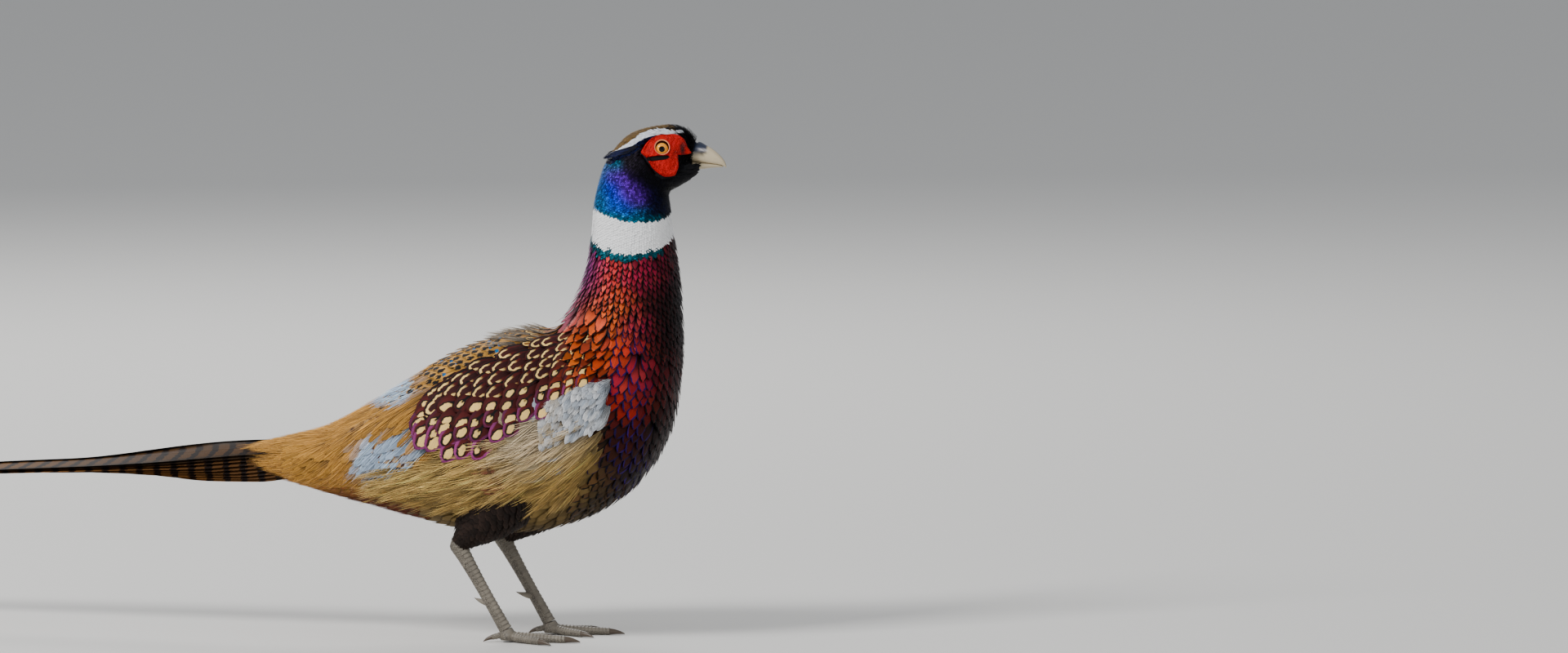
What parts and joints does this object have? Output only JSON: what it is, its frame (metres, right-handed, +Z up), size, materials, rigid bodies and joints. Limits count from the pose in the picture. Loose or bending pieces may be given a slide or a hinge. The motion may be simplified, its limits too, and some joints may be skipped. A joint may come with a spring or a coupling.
{
  "type": "common pheasant, standing cock bird",
  "caption": "Life-size still model of a cock ring-necked pheasant standing alert, with long barred tail, red face wattles and white neck ring.",
  "frame": {"origin": "middle of the bounding box at floor level", "axes": "+X the way the bird faces, +Y its left side, +Z up"},
  "size_m": [0.7242, 0.1564, 0.3805],
  "materials": {
    "torso": "satin",
    "neck": "satin",
    "head": "glossy",
    "wing": "satin",
    "tail": "satin",
    "thigh": "matte",
    "wattle": "matte",
    "bill": "satin",
    "eye": "glossy",
    "leg": "matte",
    "claw": "satin"
  },
  "bodies": {
    "root": {"bill_lower": "bill", "bill_upper": "bill", "claw_hind_left": "claw", "claw_hind_right": "claw", "claw_inner_left": "claw", "claw_inner_right": "claw", "claw_middle_left": "claw", "claw_middle_right": "claw", "claw_outer_left": "claw", "claw_outer_right": "claw", "eye_left": "eye", "eye_right": "eye", "foot_left": "leg", "foot_right": "leg", "head": "head", "neck": "neck", "shank_left": "leg", "shank_right": "leg", "tail": "tail", "thigh_left": "thigh", "thigh_right": "thigh", "torso": "torso", "wattle_left": "wattle", "wattle_right": "wattle", "wing_left": "wing", "wing_right": "wing"}
  },
  "joints": []
}
